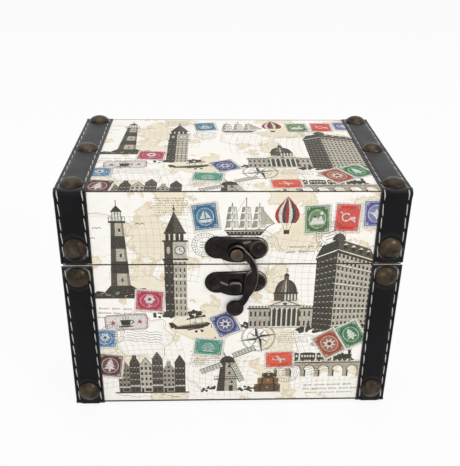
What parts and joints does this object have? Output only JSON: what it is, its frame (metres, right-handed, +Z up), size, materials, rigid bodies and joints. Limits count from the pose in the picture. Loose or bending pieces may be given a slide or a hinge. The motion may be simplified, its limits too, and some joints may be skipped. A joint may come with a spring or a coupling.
{
  "type": "decorative chest",
  "caption": "Small trunk-style keepsake chest with a flat hinged lid, printed covering, stitched leather straps, domed studs and a swing hook latch.",
  "frame": {"origin": "on the floor under the middle of the chest", "axes": "+X to the right along the front, +Y to the back where the hinges are, +Z up"},
  "size_m": [0.2324, 0.1604, 0.1814],
  "materials": {
    "board_wood": "raw board edge",
    "printed_paper": null,
    "lining_paper": "dark matt paper, glued in",
    "strap_leather": "grained, with pale running stitch",
    "stud_brass": "antique, rubbed",
    "latch_bronze": "dark antique",
    "hinge_bronze": "dark antique"
  },
  "bodies": {
    "base": {"base_front_board": "board_wood", "base_back_board": "board_wood", "base_left_board": "board_wood", "base_right_board": "board_wood", "base_bottom_board": "board_wood", "base_front_cover": "printed_paper", "base_back_cover": "printed_paper", "base_left_cover": "printed_paper", "base_right_cover": "printed_paper", "base_bottom_cover": "printed_paper", "base_lining": "lining_paper", "base_left_strap": "strap_leather", "base_right_strap": "strap_leather", "base_left_studs": "stud_brass", "base_right_studs": "stud_brass", "catch_plate": "latch_bronze", "catch_tacks": "latch_bronze", "left_hinge_base_leaf": "hinge_bronze", "right_hinge_base_leaf": "hinge_bronze", "left_hinge_pin": "hinge_bronze", "right_hinge_pin": "hinge_bronze", "base_hinge_tacks": "hinge_bronze"},
    "lid": {"lid_front_board": "board_wood", "lid_back_board": "board_wood", "lid_left_board": "board_wood", "lid_right_board": "board_wood", "lid_top_board": "board_wood", "lid_front_cover": "printed_paper", "lid_back_cover": "printed_paper", "lid_left_cover": "printed_paper", "lid_right_cover": "printed_paper", "lid_top_cover": "printed_paper", "lid_lining": "lining_paper", "lid_left_strap": "strap_leather", "lid_right_strap": "strap_leather", "lid_left_studs": "stud_brass", "lid_right_studs": "stud_brass", "latch_plate": "latch_bronze", "latch_tacks": "latch_bronze", "latch_rivet": "latch_bronze", "left_hinge_lid_leaf": "hinge_bronze", "right_hinge_lid_leaf": "hinge_bronze", "lid_hinge_tacks": "hinge_bronze"},
    "hook": {"latch_hook": "latch_bronze"}
  },
  "joints": [
    {"name": "lid_hinge", "type": "hinge", "parent": "base", "child": "lid", "pos_m": [0, 0.0766, 0.1209], "axis": [-1, 0, 0], "range_deg": [0, 135]},
    {"name": "latch_swing", "type": "hinge", "parent": "lid", "child": "hook", "pos_m": [0.002, -0.0774, 0.131], "axis": [0, -1, 0], "range_deg": [0, 120]}
  ]
}
